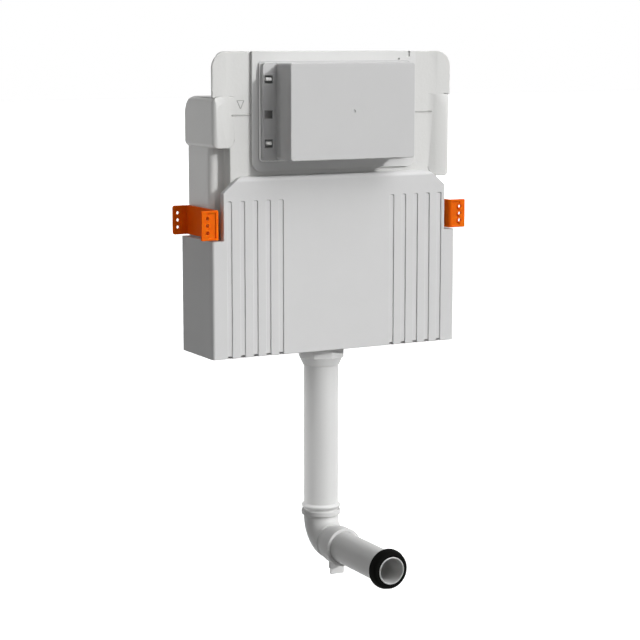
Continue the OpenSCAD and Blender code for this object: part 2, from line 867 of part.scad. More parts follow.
module outlet_pipe() {
    axis = up(-outlet_drop);
    color([0.74, 0.74, 0.74])
    translate([0, 0, axis]) difference() {
        union() {
            rod_y(outlet_r, outlet_end + mouth_cone, outlet_start);
            translate([0, outlet_end, 0]) rotate([-90, 0, 0])
                cylinder(r1 = mouth_r, r2 = outlet_r, h = mouth_cone);
        }
        rod_y(outlet_bore, outlet_end - 1, outlet_start + 1);
    }
}

// Rubber seal pushed on the outlet pipe, for the pan's inlet
module pan_seal() {
    back_y = outlet_end + seal_l;
    bevel = 1.5;
    nose_r = mouth_r + 0.5;
    fit_r = outlet_r + running;
    color([0.06, 0.06, 0.06])
    translate([0, back_y, up(-outlet_drop)])
        rotate([90, 0, 0])
            rotate_extrude()
                polygon([[fit_r, 0], [seal_r - bevel, 0], [seal_r, bevel], [seal_r, seal_l * 0.35],
                         [seal_r - 1.8, seal_l * 0.75], [seal_r - 4, seal_l - 1.4], [nose_r, seal_l - 0.3],
                         [fit_r, seal_l - mouth_cone]]);
}

// Flush valve: cage, overflow tube with its sealing disc, and the half-flush float
module valve_cage() {
    window_a = 360 / cage_windows;
    window_span_w = 2 * cage_r * sin(window_a / 2) - 8;
    roof_t = 4;
    color([0.93, 0.93, 0.94])
    on_valve() difference() {
        translate([0, 0, up(cage_foot)]) cylinder(r = cage_r, h = cage_h - cage_foot);
        translate([0, 0, up(cage_foot - 1)])
            cylinder(r = cage_r - cage_t, h = cage_h - cage_foot - roof_t + 1);
        translate([0, 0, up(cage_h - roof_t - 1)]) cylinder(r = overflow_r + running, h = roof_t + 2);
        for (i = [0 : cage_windows - 1])
            rotate(i * window_a + window_a / 2)
                translate([0, -window_span_w / 2, up(window_low)])
                    cube([cage_r + 1, window_span_w, window_top - window_low]);
    }
}

module overflow_tube() {
    color([0.90, 0.93, 0.96])
    on_valve() difference() {
        union() {
            translate([0, 0, up(disc_z)]) cylinder(r = overflow_r, h = overflow_h - disc_z);
            translate([0, 0, up(disc_z)]) cylinder(r = disc_r, h = disc_t);
        }
        translate([0, 0, up(disc_z - 1)]) cylinder(r = overflow_bore, h = overflow_h);
    }
}

module valve_seal() color([0.55, 0.16, 0.12])
    on_valve() ring(disc_r + 1, overflow_bore, seal_low, disc_z);

// An eye that a lever's tip lifts, open along Y
module stirrup(x) {
    inner = stirrup_w / 2;
    outer = inner + stirrup_t;
    facing(pipe_y - stirrup_l / 2, pipe_y + stirrup_l / 2)
        difference() {
            plain_rect(x - outer, x + outer, up(stirrup_low), up(stirrup_top), [0, 0, 3, 3]);
            plain_rect(x - inner, x + inner, up(stirrup_low + stirrup_t), up(stirrup_top - stirrup_t));
        }
}

module lift_hook() {
    cap_r = overflow_r + 3;
    color([0.93, 0.93, 0.94])
    union() {
        on_valve() intersection() {
            ring(cap_r, overflow_bore, overflow_h, overflow_h + hook_t);
            translate([-overflow_bore / 2, -cap_r, up(overflow_h)])
                cube([2 * cap_r, 2 * cap_r, hook_t]);
        }
        stirrup(lever_x);
    }
}

module half_flush_float() color([0.93, 0.93, 0.94])
    on_valve() difference() {
        translate([0, 0, up(half_float_low)]) cylinder(r = half_float_r, h = half_float_l);
        translate([0, 0, up(half_float_low - 1)]) cylinder(r = overflow_r + 0.5, h = half_float_l + 2);
        translate([0, 0, up(half_float_low - 1)]) cylinder(r = half_float_r - 2, h = half_float_l - 5);
    }

module half_flush_rod() color([0.85, 0.87, 0.90]) {
    translate([-lever_x, pipe_y, up(half_float_top)])
        cylinder(r = lift_rod_r, h = stirrup_low + stirrup_t / 2 - half_float_top);
    stirrup(-lever_x);
}

// Lever bearing: a beam across the collar with ears for the pin
module lever_bracket() {
    beam_top = beam_low + beam_h;
    hole_r = pin_r + running;
    ear_low = pivot_h - hub_r;
    color([0.88, 0.88, 0.90])
    difference() {
        union() {
            translate([-opening_half, pivot_y - beam_d / 2, up(beam_low)])
                cube([opening_w, beam_d, beam_h]);
            for (x = [-ear_x - ear_t, -ear_t / 2, ear_x])
                sideways(x, x + ear_t) {
                    plain_rect(pivot_y - hub_r, pivot_y + hub_r, up(pivot_h), up(beam_top));
                    translate([pivot_y, up(pivot_h)]) circle(hub_r);
                }
        }
        translate([0, pivot_y, up(pivot_h)]) rod_x(hole_r, -ear_x - ear_t - 1, ear_x + ear_t + 1);
    }
}

module lever_pin() color([0.75, 0.76, 0.78])
    translate([0, pivot_y, up(pivot_h)]) rod_x(pin_r, -ear_x - ear_t, ear_x + ear_t);

// Rocker: a paddle that a push rod presses to the back, and an arm that lifts a stirrup
module lever(x) {
    paddle_t = 4;
    hub_ends = [for (e = [ear_t / 2 + clear, ear_x - clear]) sign(x) * e];
    color([0.20, 0.45, 0.72])
    difference() {
        union() {
            translate([0, pivot_y, up(pivot_h)]) rod_x(hub_r, min(hub_ends), max(hub_ends));
            sideways(x - lever_w / 2, x + lever_w / 2)
                plain_rect(pivot_y - paddle_t / 2, pivot_y + paddle_t / 2, up(pivot_h - paddle_l),
                           up(pivot_h), [1.5, 1.5, 0, 0]);
            sideways(x - arm_w / 2, x + arm_w / 2) {
                plain_rect(pivot_y, pivot_y + lift_arm, up(pivot_h) - tip_r, up(pivot_h) + tip_r);
                translate([pivot_y + lift_arm, up(pivot_h)]) circle(tip_r);
            }
        }
        translate([0, pivot_y, up(pivot_h)]) rod_x(pin_r + running, min(hub_ends) - 1, max(hub_ends) + 1);
    }
}

module full_flush_lever() lever(lever_x);
module half_flush_lever() lever(-lever_x);

// Side-inlet fill valve with a float that runs on its stem
module fill_valve() {
    ear_half = arm_half + 0.5;
    ear_wall = 2.5;
    ear_round = 4;
    bore_r = 6;
    inlet_bore = shank_r - 3;
    color([0.92, 0.92, 0.93])
    difference() {
        union() {
            translate([fill_x, inlet_pos, up(barrel_low)])
                cylinder(r = barrel_r, h = barrel_top - barrel_low);
            translate([fill_x, inlet_pos, up(stem_low)])
                cylinder(r = stem_r, h = barrel_low - stem_low + eps);
            translate([fill_x, inlet_pos, up(stem_low)]) cylinder(r = stop_r, h = stop_t);
            translate([0, inlet_pos, up(inlet_h)]) {
                rod_x(shank_core, fill_x, thread_start + eps);
                rod_x(shank_r, thread_start, shank_end);
                rod_x(shank_core + 4.5, shank_wall - gasket_t - shank_flange_t, shank_wall - gasket_t);
            }
            for (s = [-1, 1])
                facing(inlet_pos + s * (ear_half + ear_wall / 2) - ear_wall / 2,
                       inlet_pos + s * (ear_half + ear_wall / 2) + ear_wall / 2) {
                    plain_rect(arm_pivot_x - ear_round, arm_pivot_x + ear_round,
                               up(inlet_h + shank_r / 2), up(arm_pivot_h));
                    translate([arm_pivot_x, up(arm_pivot_h)]) circle(ear_round);
                }
        }
        translate([0, inlet_pos, up(inlet_h)]) rod_x(inlet_bore, fill_x, shank_end + 1);
        translate([fill_x, inlet_pos, up(stem_low - 1)]) cylinder(r = stem_r - 2, h = inlet_h - stem_low);
        translate([arm_pivot_x, 0, up(arm_pivot_h)])
            rod_y(arm_pin_r + running, inlet_pos - bore_r - ear_wall, inlet_pos + bore_r + ear_wall);
    }
}

module shank_gasket() color([0.1, 0.1, 0.1])
    translate([0, inlet_pos, up(inlet_h)])
        difference() {
            rod_x(shank_core + 4, shank_wall - gasket_t, shank_wall);
            rod_x(shank_core + running, shank_wall - gasket_t - 1, shank_wall + 1);
        }

module shank_nut() color([0.80, 0.66, 0.36])
    translate([0, inlet_pos, up(inlet_h)])
        difference() {
            translate([neck_half, 0, 0]) rotate([0, 90, 0])
                cylinder(r = shank_r + 6, h = shank_nut_t, $fn = 6);
            rod_x(shank_core + running, neck_half - 1, neck_half + shank_nut_t + 1);
        }

module arm_pin() color([0.75, 0.76, 0.78])
    translate([arm_pivot_x, 0, up(arm_pivot_h)])
        rod_y(arm_pin_r, inlet_pos - arm_half - 3, inlet_pos + arm_half + 3);

// Arm with a fork that straddles the float's rod
module float_arm() {
    fork_half = rod_r + 0.7;
    fork_l = 7;
    hub = arm_t / 2 + 1.5;
    color([0.20, 0.45, 0.72])
    difference() {
        union() {
            translate([arm_rod_x - fork_l, inlet_pos - arm_half, up(arm_pivot_h) - arm_t / 2])
                cube([arm_l + fork_l, 2 * arm_half, arm_t]);
            translate([arm_pivot_x, 0, up(arm_pivot_h)])
                rod_y(hub, inlet_pos - arm_half, inlet_pos + arm_half);
        }
        translate([arm_rod_x - fork_l - 1, inlet_pos - fork_half, up(arm_pivot_h) - arm_t])
            cube([2 * fork_l, 2 * fork_half, 2 * arm_t]);
        translate([arm_pivot_x, 0, up(arm_pivot_h)])
            rod_y(arm_pin_r + running, inlet_pos - arm_half - 1, inlet_pos + arm_half + 1);
    }
}

module fill_float() {
    wall = 2;
    color([0.94, 0.94, 0.95])
    translate([fill_x, inlet_pos, up(float_base)])
        difference() {
            cylinder(r = float_r, h = float_l);
            translate([0, 0, -1]) cylinder(r = stem_r + running, h = float_l + 2);
            translate([0, 0, -1])
                difference() {
                    cylinder(r = float_r - wall, h = float_l - wall + 1);
                    cylinder(r = stem_r + running + wall, h = float_l);
                }
        }
}

module float_rod() color([0.75, 0.76, 0.78])
    translate([arm_rod_x, inlet_pos, 0]) {
        translate([0, 0, up(float_base + float_l)])
            cylinder(r = rod_r, h = arm_pivot_h + rod_play + rod_collar_t - float_base - float_l);
        for (h = [arm_pivot_h - rod_play - rod_collar_t, arm_pivot_h + rod_play])
            translate([0, 0, up(h)]) cylinder(r = rod_collar_r, h = rod_collar_t);
    }

lower_casing();
tank();
service_plate();
latch_tongues();
protection_box();
bracket_left();
bracket_right();
base_gasket();
valve_base();
valve_cage();
outlet_nut();
pipe_washer();
flush_pipe();
flush_elbow();
elbow_seal();
elbow_clip();
outlet_pipe();
pan_seal();
overflow_tube();
valve_seal();
lift_hook();
half_flush_float();
half_flush_rod();
lever_bracket();
lever_pin();
full_flush_lever();
half_flush_lever();
fill_valve();
shank_gasket();
shank_nut();
arm_pin();
float_arm();
fill_float();
float_rod();
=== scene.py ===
"""Looks of the concealed toilet cistern: soft mouldings, finishes, level marks, a thread, light and camera.

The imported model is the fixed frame. Lengths are in metres in the part's own frame: X runs to the right,
Y to the wall and Z up, and the origin is the middle of the wall bolts.
"""

import logging
import math
from dataclasses import dataclass
from enum import Enum

import bmesh
import bpy
import numpy as np
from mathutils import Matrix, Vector
from mathutils.bvhtree import BVHTree


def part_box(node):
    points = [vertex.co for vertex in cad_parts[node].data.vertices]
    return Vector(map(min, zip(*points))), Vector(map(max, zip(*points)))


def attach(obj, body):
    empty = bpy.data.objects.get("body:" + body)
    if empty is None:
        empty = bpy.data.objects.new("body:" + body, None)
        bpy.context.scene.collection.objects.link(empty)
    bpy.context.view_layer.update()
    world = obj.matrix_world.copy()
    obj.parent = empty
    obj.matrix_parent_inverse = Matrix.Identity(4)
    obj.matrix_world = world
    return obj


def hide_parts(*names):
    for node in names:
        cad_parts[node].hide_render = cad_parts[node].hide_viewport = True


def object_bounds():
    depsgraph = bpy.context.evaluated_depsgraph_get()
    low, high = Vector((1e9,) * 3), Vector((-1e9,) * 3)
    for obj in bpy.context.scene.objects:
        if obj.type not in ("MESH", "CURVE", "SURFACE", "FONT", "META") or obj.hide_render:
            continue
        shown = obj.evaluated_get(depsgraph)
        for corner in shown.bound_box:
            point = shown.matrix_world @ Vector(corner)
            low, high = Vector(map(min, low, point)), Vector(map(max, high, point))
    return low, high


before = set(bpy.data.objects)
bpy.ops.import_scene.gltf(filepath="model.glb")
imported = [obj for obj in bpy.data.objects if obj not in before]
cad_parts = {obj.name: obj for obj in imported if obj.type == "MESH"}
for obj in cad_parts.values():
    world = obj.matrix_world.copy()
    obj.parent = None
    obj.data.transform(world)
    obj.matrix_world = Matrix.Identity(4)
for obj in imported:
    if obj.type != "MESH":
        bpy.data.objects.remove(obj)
CAD_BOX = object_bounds()

MM = 0.001
WHITE = (1.0, 1.0, 1.0, 1.0)
log = logging.getLogger("cistern")

# Constants of the display's colour curve
FULL_BYTE = 255
TOE_END = 0.04045
TOE_SLOPE = 12.92
CURVE_SHIFT = 0.055
CURVE_POWER = 2.4

Triple = tuple[float, float, float]


class Body(Enum):
    """The bodies of the frame that pieces ride on."""

    CISTERN = "cistern"
    BOX = "box"
    BEND = "bend"
    VALVE = "valve"
    HALF_VALVE = "half_valve"
    FULL_LEVER = "full_lever"
    HALF_LEVER = "half_lever"
    FLOAT = "float"
    ARM = "arm"


class Slot(Enum):
    """The record's material slots."""

    CASING = "casing"
    TANK = "tank"
    PLATE = "plate"
    BOX = "box"
    TONGUE = "tongue"
    BRACKET = "bracket"
    PIPE = "pipe"
    FITTING = "fitting"
    RUBBER = "rubber"
    VALVE_SEAL = "valve_seal"
    VALVE = "valve"
    LEVER = "lever"
    STEEL = "steel"
    BRASS = "brass"


class Make(Enum):
    """How a piece is made, which ends its name."""

    MOULDED = "moulding"
    DRAWN = "tube"
    CUT = "ring"
    TURNED = "turned"


def linear(colour: tuple[int, int, int]) -> tuple[float, float, float, float]:
    """Turns a display colour into the linear colour that shaders take.

    Args:
        colour: Red, green and blue from 0 to 255.

    Returns:
        Linear red, green, blue and full alpha.
    """
    shares = [c / FULL_BYTE for c in colour]
    values = [s / TOE_SLOPE if s <= TOE_END else ((s + CURVE_SHIFT) / (1.0 + CURVE_SHIFT)) ** CURVE_POWER
              for s in shares]
    return (*values, 1.0)


class NodeMaker:
    """Adds and links nodes in one tree."""

    def __init__(self, tree: bpy.types.NodeTree) -> None:
        """Keeps the tree that nodes go into."""
        self.tree = tree

    def add(self, kind: str, inputs: dict | None = None, **settings) -> bpy.types.Node:
        """Adds a node.

        Args:
            kind: The node's type name.
            inputs: Socket names or numbers, each with a value or with an output socket to link from.
            settings: Properties of the node itself.

        Returns:
            The new node.
        """
        made = self.tree.nodes.new(kind)
        for name, value in settings.items():
            setattr(made, name, value)
        for name, value in (inputs or {}).items():
            if isinstance(value, bpy.types.NodeSocket):
                self.tree.links.new(value, made.inputs[name])
            else:
                made.inputs[name].default_value = value
        return made

    def maths(self, operation: str, *values) -> bpy.types.NodeSocket:
        """Adds a Math node and returns its result."""
        return self.add("ShaderNodeMath", dict(enumerate(values)), operation=operation).outputs[0]

    def socket(self, name: str, kind: str, way: str = "INPUT", value=None) -> None:
        """Declares a named socket of a group tree.

        Args:
            name: The socket's name.
            kind: Its type, such as Float, Vector or Color.
            way: INPUT or OUTPUT.
            value: Its value where nothing is linked.
        """
        made = self.tree.interface.new_socket(name, in_out=way, socket_type=f"NodeSocket{kind}")
        if value is not None:
            made.default_value = value


class ShaderGroups:
    """Effects that several finishes share, each a node group that is built once."""

    SKIN = "moulded_skin"
    EDGES = "edges_and_corners"
    NOISE_MIDDLE = 0.5
    MOTTLE_RISE = 2.0
    EDGE_GAIN = 4.0

    @classmethod
    def skin(cls) -> bpy.types.NodeTree:
        """Grain and faint mottling of a moulded or drawn surface.

        Returns:
            A group that puts out a colour, a roughness and a height.
        """
        found = bpy.data.node_groups.get(cls.SKIN)
        if found:
            return found
        make = NodeMaker(bpy.data.node_groups.new(cls.SKIN, "ShaderNodeTree"))
        make.socket("Vector", "Vector")
        make.socket("Colour", "Color")
        for name, value in (("Mottle", 0.05), ("Mottle Scale", 25.0), ("Grain Scale", 900.0),
                            ("Roughness", 0.5), ("Roughness Spread", 0.1)):
            make.socket(name, "Float", value=value)
        make.socket("Colour", "Color", "OUTPUT")
        make.socket("Roughness", "Float", "OUTPUT")
        make.socket("Height", "Float", "OUTPUT")
        given = make.add("NodeGroupInput").outputs
        mottle = make.add("ShaderNodeTexNoise", {"Vector": given["Vector"], "Scale": given["Mottle Scale"],
                                                 "Detail": 4.0, "Roughness": 0.6}).outputs[0]
        grain = make.add("ShaderNodeTexNoise", {"Vector": given["Vector"], "Scale": given["Grain Scale"],
                                                "Detail": 2.0, "Roughness": 0.5}).outputs[0]
        drift = make.maths("SUBTRACT", mottle, cls.NOISE_MIDDLE)
        tone = make.maths("MULTIPLY_ADD", drift, given["Mottle"], 1.0)
        tinted = make.add("ShaderNodeHueSaturation", {"Color": given["Colour"], "Value": tone}).outputs[0]
        gritty = make.maths("ADD", drift, make.maths("SUBTRACT", grain, cls.NOISE_MIDDLE))
        rough = make.maths("MULTIPLY_ADD", gritty, given["Roughness Spread"], given["Roughness"])
        height = make.maths("MULTIPLY_ADD", mottle, cls.MOTTLE_RISE, grain)
        make.add("NodeGroupOutput", {"Colour": tinted, "Roughness": rough, "Height": height})
        return make.tree

    @classmethod
    def edges(cls) -> bpy.types.NodeTree:
        """Painted highlight that lightens edges, and painted shade that darkens inner corners.

        Returns:
            A group that puts out a colour.
        """
        found = bpy.data.node_groups.get(cls.EDGES)
        if found:
            return found
        make = NodeMaker(bpy.data.node_groups.new(cls.EDGES, "ShaderNodeTree"))
        make.socket("Colour", "Color")
        for name, value in (("Edge Width", 0.0012), ("Edge Tone", 0.06), ("Corner Reach", 0.004),
                            ("Corner Tone", 0.15)):
            make.socket(name, "Float", value=value)
        make.socket("Colour", "Color", "OUTPUT")
        given = make.add("NodeGroupInput").outputs
        # Painted highlight: edges that the bevel finds come out lighter
        rounded = make.add("ShaderNodeBevel", {"Radius": given["Edge Width"]}, samples=4).outputs[0]
        normal = make.add("ShaderNodeNewGeometry").outputs["Normal"]
        facing = make.add("ShaderNodeVectorMath", {0: rounded, 1: normal}, operation="DOT_PRODUCT")
        bent = make.maths("SUBTRACT", 1.0, facing.outputs["Value"])
        edge = make.maths("MULTIPLY", bent, cls.EDGE_GAIN)
        highlight_paint = make.maths("MULTIPLY", make.maths("MINIMUM", edge, 1.0), given["Edge Tone"])
        # Painted shade: inner corners that occlusion finds come out darker
        hidden = make.add("ShaderNodeAmbientOcclusion", {"Distance": given["Corner Reach"]}, samples=6,
                          only_local=True).outputs["AO"]
        shade_paint = make.maths("MULTIPLY", make.maths("SUBTRACT", 1.0, hidden), given["Corner Tone"])
        tone = make.maths("ADD", 1.0, make.maths("SUBTRACT", highlight_paint, shade_paint))
        shaded = make.add("ShaderNodeHueSaturation", {"Color": given["Colour"], "Value": tone})
        make.add("NodeGroupOutput", {"Colour": shaded.outputs[0]})
        return make.tree


@dataclass(frozen=True)
class Finish:
    """A surface: its colour and skin, and how it takes light.

    Lengths in the fields are in metres, scales are patterns to the metre, and the colour is a display colour.
    """

    name: str
    slot: Slot
    colour: tuple[int, int, int]
    roughness: float
    mottle: float = 0.04
    mottle_scale: float = 22.0
    grain_scale: float = 1100.0
    relief: float = 0.00012
    stretch: Triple = (1.0, 1.0, 1.0)
    roughness_spread: float = 0.12
    # The next two fields paint a highlight along edges and shade into inner corners
    edge_highlight: float = 0.06
    corner_shade: float = 0.18
    specular: float = 0.5
    coat: float = 0.0
    coat_roughness: float = 0.2
    metallic: float = 0.0
    subsurface: float = 0.0
    depth: float = 0.004
    soaks: Triple = (1.0, 1.0, 0.95)

    def material(self) -> bpy.types.Material:
        """Builds the finish's material once.

        Returns:
            The material.
        """
        found = bpy.data.materials.get(self.name)
        if found:
            return found
        made = bpy.data.materials.new(self.name)
        made.use_nodes = True
        made.node_tree.nodes.clear()
        make = NodeMaker(made.node_tree)
        place = make.add("ShaderNodeTexCoord").outputs["Object"]
        stretched = make.add("ShaderNodeMapping", {"Vector": place, "Scale": self.stretch}).outputs[0]
        skin = make.add("ShaderNodeGroup", {
            "Vector": stretched, "Colour": linear(self.colour), "Mottle": self.mottle,
            "Mottle Scale": self.mottle_scale, "Grain Scale": self.grain_scale, "Roughness": self.roughness,
            "Roughness Spread": self.roughness_spread}, node_tree=ShaderGroups.skin())
        # The edge group paints a highlight along edges and shade into inner corners
        edges = make.add("ShaderNodeGroup", {
            "Colour": skin.outputs["Colour"], "Edge Tone": self.edge_highlight, "Corner Tone": self.corner_shade},
            node_tree=ShaderGroups.edges())
        bump = make.add("ShaderNodeBump", {"Strength": 0.5, "Distance": self.relief,
                                           "Height": skin.outputs["Height"]})
        shader = make.add("ShaderNodeBsdfPrincipled", {
            "Base Color": edges.outputs["Colour"], "Roughness": skin.outputs["Roughness"],
            "Normal": bump.outputs["Normal"], "Metallic": self.metallic,
            "Specular IOR Level": self.specular, "Coat Weight": self.coat,
            "Coat Roughness": self.coat_roughness, "Subsurface Weight": self.subsurface,
            "Subsurface Radius": self.soaks, "Subsurface Scale": self.depth})
        make.add("ShaderNodeOutputMaterial", {"Surface": shader.outputs[0]})
        return made


CASING_GREY = Finish("casing_grey", Slot.CASING, (205, 205, 205), 0.58, specular=0.35, corner_shade=0.02)
TANK_NATURAL = Finish("tank_natural", Slot.TANK, (204, 204, 202), 0.45, mottle=0.05, mottle_scale=9.0,
                      grain_scale=240.0, relief=0.0004, coat=0.35, corner_shade=0.1)
# The level marks' darker grey is painted shade of the raised lines
LEVEL_SHADE_GREY = Finish("level_grey", Slot.TANK, (172, 172, 170), 0.5, mottle=0.1, mottle_scale=300.0)
PLATE_NATURAL = Finish("plate_natural", Slot.PLATE, (208, 208, 207), 0.42, coat=0.1, corner_shade=0.25)
BOX_GREY = Finish("box_grey", Slot.BOX, (195, 195, 195), 0.55, specular=0.35)
TONGUE_WHITE = Finish("tongue_white", Slot.TONGUE, (246, 246, 243), 0.4, subsurface=0.3, depth=0.002)
BRACKET_ORANGE = Finish("bracket_orange", Slot.BRACKET, (230, 105, 8), 0.55, mottle=0.08, mottle_scale=60.0,
                        specular=0.06, edge_highlight=0.16, corner_shade=0.3, subsurface=0.3,
                        soaks=(1.0, 0.2, 0.05))
PIPE_NATURAL = Finish("pipe_natural", Slot.PIPE, (208, 208, 207), 0.5, mottle=0.06, mottle_scale=60.0,
                      grain_scale=700.0, stretch=(1.0, 1.0, 0.04), coat=0.15)
NUT_NATURAL = Finish("nut_natural", Slot.PIPE, (208, 208, 207), 0.5, mottle=0.06, mottle_scale=60.0,
                     coat=0.15)
FITTING_GREY = Finish("fitting_grey", Slot.FITTING, (204, 204, 203), 0.42, mottle_scale=45.0, specular=0.45)
CLIP_GREY = Finish("clip_grey", Slot.FITTING, (208, 208, 207), 0.42, mottle_scale=45.0, specular=0.45)
OUTLET_GREY = Finish("outlet_grey", Slot.FITTING, (196, 196, 195), 0.4, mottle=0.06, mottle_scale=60.0,
                     grain_scale=700.0, stretch=(1.0, 0.04, 1.0), specular=0.45)
SEAL_RUBBER = Finish("seal_rubber", Slot.RUBBER, (13, 13, 12), 0.7, mottle=0.3, mottle_scale=70.0,
                     grain_scale=900.0, relief=0.0003, specular=0.03, edge_highlight=0.1, corner_shade=0.3)
VALVE_RED = Finish("valve_red_rubber", Slot.VALVE_SEAL, (150, 48, 38), 0.6, mottle=0.2, mottle_scale=80.0,
                   relief=0.0002, specular=0.25)
VALVE_WHITE = Finish("valve_white", Slot.VALVE, (232, 232, 234), 0.38, mottle_scale=50.0, corner_shade=0.35)
LEVER_BLUE = Finish("lever_blue", Slot.LEVER, (52, 112, 182), 0.4, mottle=0.1, mottle_scale=70.0,
                    edge_highlight=0.2, corner_shade=0.3)
PIN_STEEL = Finish("pin_steel", Slot.STEEL, (196, 198, 202), 0.28, mottle=0.1, grain_scale=600.0,
                   stretch=(0.05, 1.0, 1.0), metallic=1.0)
SHANK_BRASS = Finish("shank_brass", Slot.BRASS, (206, 172, 98), 0.3, mottle=0.15, mottle_scale=90.0,
                     grain_scale=600.0, metallic=1.0, edge_highlight=0.2, corner_shade=0.4)


class EdgeRoom:
    """How far the edges of one solid can be rounded before a rounding meets another edge.

    Faces that meet below SEAM are one flat, edges above SHARP are rounded, and edges that turn by less than
    ARC are one run. A rounding takes SHARE of the free room, which is measured at STATIONS along an edge.
    """

    SEAM = math.radians(1)
    SHARP = math.radians(28)
    ARC = math.radians(30)
    SHARE = 0.42
    STATIONS = (0.02, 0.5, 0.98)
    TINY = 1e-7

    def __init__(self, shape: bmesh.types.BMesh) -> None:
        """Finds the sharp edges, and the outline of each flat that faces form together.

        Args:
            shape: The solid, with its faces merged where they are flat.
        """
        shape.faces.index_update()
        shape.verts.index_update()
        bends = {e: e.calc_face_angle() for e in shape.edges if e.is_manifold}
        self.sharp = {e for e, bend in bends.items() if bend > self.SHARP}
        seams = {e for e, bend in bends.items() if bend < self.SEAM}
        self.flats: dict[int, tuple[np.ndarray, np.ndarray, np.ndarray]] = {}
        for face in shape.faces:
            if face.index not in self.flats:
                self._trace(face, seams)

    def _trace(self, first: bmesh.types.BMFace, seams: set[bmesh.types.BMEdge]) -> None:
        """Gathers the faces that share seams with a face, and keeps their common outline for each of them.

        Args:
            first: The face to start from.
            seams: The edges between faces that lie flat together.
        """
        flat = {first}
        waiting = [first]
        while waiting:
            across = {f for e in waiting.pop().edges if e in seams for f in e.link_faces} - flat
            flat |= across
            waiting += across
        rim = [e for f in flat for e in f.edges if e not in seams]
        ids = np.array([[v.index for v in e.verts] for e in rim])
        outline = (ids, *(np.array([e.verts[end].co for e in rim]) for end in (0, 1)))
        self.flats.update({f.index: outline for f in flat})

    def measure(self) -> dict[bmesh.types.BMEdge, float]:
        """Finds the width that each sharp edge's rounding may take, the same all along a smooth run of edges.

        Returns:
            The sharp edges with their widths.
        """
        widths: dict[bmesh.types.BMEdge, float] = {}
        waiting = set(self.sharp)
        while waiting:
            run = self._run(waiting.pop())
            waiting -= run
            rooms = [room for edge in run for loop in edge.link_loops
                     for room in (self._width(loop), *self._ends(loop))]
            widths.update(dict.fromkeys(run, self.SHARE * min(rooms)))
        return widths

    def _run(self, first: bmesh.types.BMEdge) -> set[bmesh.types.BMEdge]:
        """Finds the sharp edges that carry an edge on without a corner.

        Args:
            first: The edge to start from.

        Returns:
            The edges of the run, with the first.
        """
        run = {first}
        ends = [first]
        while ends:
            edge = ends.pop()
            for pivot in edge.verts:
                for other in pivot.link_edges:
                    if other in self.sharp and other not in run and self._turn(edge, other, pivot) < self.ARC:
                        run.add(other)
                        ends.append(other)
        return run

    @staticmethod
    def _turn(edge: bmesh.types.BMEdge, other: bmesh.types.BMEdge, pivot: bmesh.types.BMVert) -> float:
        """Angle by which the way along one edge turns into the next at the point that they share."""
        mine = pivot.co - edge.other_vert(pivot).co
        return mine.angle(other.other_vert(pivot).co - pivot.co)

    def _width(self, loop: bmesh.types.BMLoop) -> float:
        """Measures the free width of a flat beside one of its edges, across the edge at a few stations.

        Args:
            loop: The edge as its face has it.

        Returns:
            The smallest width found.
        """
        start = np.array(loop.vert.co)
        chord = np.array(loop.link_loop_next.vert.co) - start
        length = np.linalg.norm(chord)
        along = chord / length
        inward = np.cross(np.array(loop.face.normal), along)
        ids, lows, highs = self.flats[loop.face.index]
        own = np.isin(ids, [v.index for v in loop.edge.verts]).any(axis=1)
        near, next_near = (lows - start) @ along, (highs - start) @ along
        away, next_away = (lows - start) @ inward, (highs - start) @ inward
        found = [math.inf]
        for share in self.STATIONS:
            at = share * length
            crossed = ((near - at) * (next_near - at) < 0) & ~own
            run = np.where(crossed, next_near - near, 1.0)
            height = away + (next_away - away) * (at - near) / run
            found += [h for h in height[crossed] if h > self.TINY]
        return min(found)

    def _ends(self, loop: bmesh.types.BMLoop) -> list[float]:
        """Measures the room at both ends of an edge: along a seam where it runs out, or inside a tight arc.

        Args:
            loop: The edge as its face has it.

        Returns:
            The rooms found, at most one for each end.
        """
        rooms = []
        after = loop.link_loop_next
        for other, pivot in ((loop.link_loop_prev, loop.vert), (after, after.vert)):
            turn = self._turn(loop.edge, other.edge, pivot)
            length = other.edge.calc_length()
            if sum(edge in self.sharp for edge in pivot.link_edges) == 1:
                rooms.append(length * math.sin(turn))
            elif other.edge in self.sharp and self.TINY < turn < self.ARC:
                rooms.append(min(loop.edge.calc_length(), length) / math.tan(turn / 2))
        return rooms


